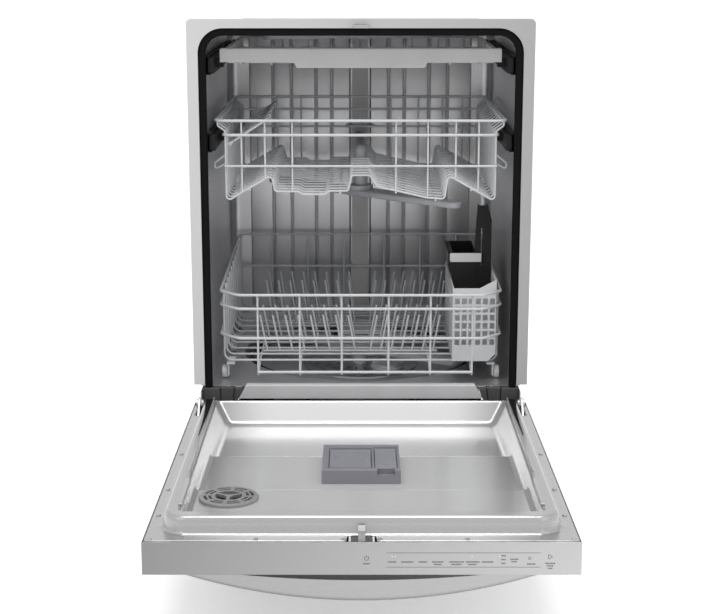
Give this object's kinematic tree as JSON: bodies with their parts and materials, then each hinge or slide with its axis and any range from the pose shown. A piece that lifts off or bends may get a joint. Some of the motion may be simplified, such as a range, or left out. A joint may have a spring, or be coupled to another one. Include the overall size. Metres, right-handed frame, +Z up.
{
  "type": "dishwasher",
  "caption": "Built-in dishwasher with its drop-down door open: steel tub, wire racks on slides and wheels, spray arms, cutlery basket, third-rack tray and a bowed door handle.",
  "frame": {"origin": "on the floor, under the centre of the box round the whole part with its door open", "axes": "+Z up, +Y from the open door towards the back of the cabinet, +X to the right seen from the front"},
  "size_m": [0.606, 1.2432, 0.86],
  "materials": {
    "tub_steel": "satin stainless sheet",
    "frame_paint": "smooth pale grey paint",
    "seal_rubber": "black moulded rubber",
    "damping_mat": "dull bitumen felt",
    "base_steel": "plain zinc-coated steel",
    "base_plastic": "dark grey moulded plastic",
    "kick_paint": "satin black paint",
    "grey_plastic": "mid grey moulded plastic",
    "pump_case": "dark grey paint",
    "heater_steel": "smooth tube",
    "filter_steel": "perforated stainless sheet",
    "arm_plastic": "pale grey moulded plastic",
    "dark_plastic": "black moulded plastic",
    "coated_wire": "pale grey nylon coating on steel wire",
    "pale_plastic": "pale grey moulded plastic",
    "rack_front_plastic": "mid grey moulded plastic",
    "panel_steel": "fine brushed stainless, lengthways grain",
    "liner_steel": "polished stainless sheet",
    "handle_metal": "satin brushed",
    "dispenser_plastic": "grey moulded plastic",
    "lid_plastic": "grey moulded plastic",
    "screw_steel": "small pan-head screws"
  },
  "bodies": {
    "cabinet": {"tub_wrapper": "tub_steel", "tub_back": "tub_steel", "tub_floor": "tub_steel", "front_frame": "frame_paint", "front_sill": "grey_plastic", "door_gasket": "seal_rubber", "sound_mats": "damping_mat", "side_frames": "base_steel", "hinge_pins": "base_steel", "base_pan": "base_plastic", "toe_kick": "kick_paint", "sump": "grey_plastic", "circulation_pump": "pump_case", "delivery_pipe": "grey_plastic", "drain_pump": "grey_plastic", "inlet_valve": "base_plastic", "junction_box": "base_plastic", "heater_element": "heater_steel", "heater_clips": "heater_steel", "filter_plate": "filter_steel", "supply_duct": "grey_plastic", "upper_rails": "dark_plastic", "third_rails": "dark_plastic", "door_strike": "base_steel"},
    "foot_front_left": {"foot_front_left": "base_plastic"},
    "foot_front_right": {"foot_front_right": "base_plastic"},
    "foot_back_left": {"foot_back_left": "base_plastic"},
    "foot_back_right": {"foot_back_right": "base_plastic"},
    "filter_cup": {"filter_cup": "grey_plastic"},
    "lower_spray_arm": {"lower_spray_arm": "arm_plastic"},
    "top_spray_arm": {"top_spray_arm": "arm_plastic"},
    "door": {"door_outer_panel": "panel_steel", "door_liner": "liner_steel", "door_guides": "liner_steel", "control_panel": "panel_steel", "handle_bar": "handle_metal", "dispenser_body": "dispenser_plastic", "vent_cover": "grey_plastic", "latch_case": "pale_plastic", "hinge_arms": "base_steel", "door_screws": "screw_steel"},
    "detergent_lid": {"detergent_lid": "lid_plastic"},
    "rinse_cap": {"rinse_cap": "lid_plastic"},
    "latch_hook": {"latch_hook": "pale_plastic"},
    "lower_rack": {"lower_rack_frame": "coated_wire", "lower_rack_tines": "coated_wire", "wheel_carriers": "pale_plastic", "cutlery_basket": "pale_plastic", "cutlery_grip": "dark_plastic"},
    "wheels_front": {"wheels_front": "pale_plastic"},
    "wheels_middle": {"wheels_middle": "pale_plastic"},
    "wheels_back": {"wheels_back": "pale_plastic"},
    "upper_rack": {"upper_rack_wires": "coated_wire", "upper_slides": "dark_plastic", "feed_tube": "arm_plastic"},
    "middle_spray_arm": {"middle_spray_arm": "arm_plastic"},
    "cup_shelf": {"cup_shelf": "pale_plastic"},
    "third_rack": {"third_rack_tray": "coated_wire", "third_rack_front": "rack_front_plastic", "third_slides": "dark_plastic"}
  },
  "joints": [
    {"name": "door_hinge", "type": "hinge", "parent": "cabinet", "child": "door", "pos_m": [0, 0.05461, 0.182], "axis": [-1, 0, 0], "range_deg": [0, 88.7]},
    {"name": "latch_swing", "type": "hinge", "parent": "door", "child": "latch_hook", "pos_m": [0, -0.59999, 0.16285], "axis": [1, 0, 0], "range_deg": [0, 14]},
    {"name": "detergent_lid_hinge", "type": "hinge", "parent": "door", "child": "detergent_lid", "pos_m": [0, -0.2631, 0.19821], "axis": [-1, 0, 0], "range_deg": [0, 95]},
    {"name": "rinse_cap_hinge", "type": "hinge", "parent": "door", "child": "rinse_cap", "pos_m": [0, -0.2581, 0.1981], "axis": [-1, 0, 0], "range_deg": [0, 95]},
    {"name": "lower_rack_slide", "type": "slide", "parent": "cabinet", "child": "lower_rack", "axis": [0, 1, 0], "range_m": [-0.44, 0]},
    {"name": "upper_rack_slide", "type": "slide", "parent": "cabinet", "child": "upper_rack", "axis": [0, 1, 0], "range_m": [-0.4, 0]},
    {"name": "third_rack_slide", "type": "slide", "parent": "cabinet", "child": "third_rack", "axis": [0, 1, 0], "range_m": [-0.4, 0]},
    {"name": "lower_arm_spin", "type": "hinge", "parent": "cabinet", "child": "lower_spray_arm", "pos_m": [0, 0.33561, 0.209], "axis": [0, 0, 1], "continuous": true},
    {"name": "middle_arm_spin", "type": "hinge", "parent": "upper_rack", "child": "middle_spray_arm", "pos_m": [0, 0.33561, 0.517], "axis": [0, 0, 1], "continuous": true},
    {"name": "top_arm_spin", "type": "hinge", "parent": "cabinet", "child": "top_spray_arm", "pos_m": [0, 0.33561, 0.814], "axis": [0, 0, 1], "continuous": true},
    {"name": "cup_shelf_fold", "type": "hinge", "parent": "upper_rack", "child": "cup_shelf", "pos_m": [-0.23155, 0.29461, 0.64], "axis": [0, -1, 0], "range_deg": [0, 45]},
    {"name": "filter_twist", "type": "hinge", "parent": "cabinet", "child": "filter_cup", "pos_m": [0.052, 0.30161, 0.182], "axis": [0, 0, 1], "range_deg": [0, 90]},
    {"name": "wheels_front_roll", "type": "hinge", "parent": "lower_rack", "child": "wheels_front", "pos_m": [0, 0.13561, 0.2208], "axis": [-1, 0, 0], "continuous": true},
    {"name": "wheels_middle_roll", "type": "hinge", "parent": "lower_rack", "child": "wheels_middle", "pos_m": [0, 0.32561, 0.2208], "axis": [-1, 0, 0], "continuous": true},
    {"name": "wheels_back_roll", "type": "hinge", "parent": "lower_rack", "child": "wheels_back", "pos_m": [0, 0.51561, 0.2208], "axis": [-1, 0, 0], "continuous": true},
    {"name": "foot_front_left_screw", "type": "slide", "parent": "cabinet", "child": "foot_front_left", "axis": [0, 0, 1], "range_m": [-0.025, 0]},
    {"name": "foot_front_right_screw", "type": "slide", "parent": "cabinet", "child": "foot_front_right", "axis": [0, 0, 1], "range_m": [-0.025, 0]},
    {"name": "foot_back_left_screw", "type": "slide", "parent": "cabinet", "child": "foot_back_left", "axis": [0, 0, 1], "range_m": [-0.025, 0]},
    {"name": "foot_back_right_screw", "type": "slide", "parent": "cabinet", "child": "foot_back_right", "axis": [0, 0, 1], "range_m": [-0.025, 0]}
  ],
  "couplings": [
    {"joint": "wheels_front_roll", "follows": "lower_rack_slide", "rad_per_m": 83.333},
    {"joint": "wheels_middle_roll", "follows": "lower_rack_slide", "rad_per_m": 83.333},
    {"joint": "wheels_back_roll", "follows": "lower_rack_slide", "rad_per_m": 83.333}
  ]
}
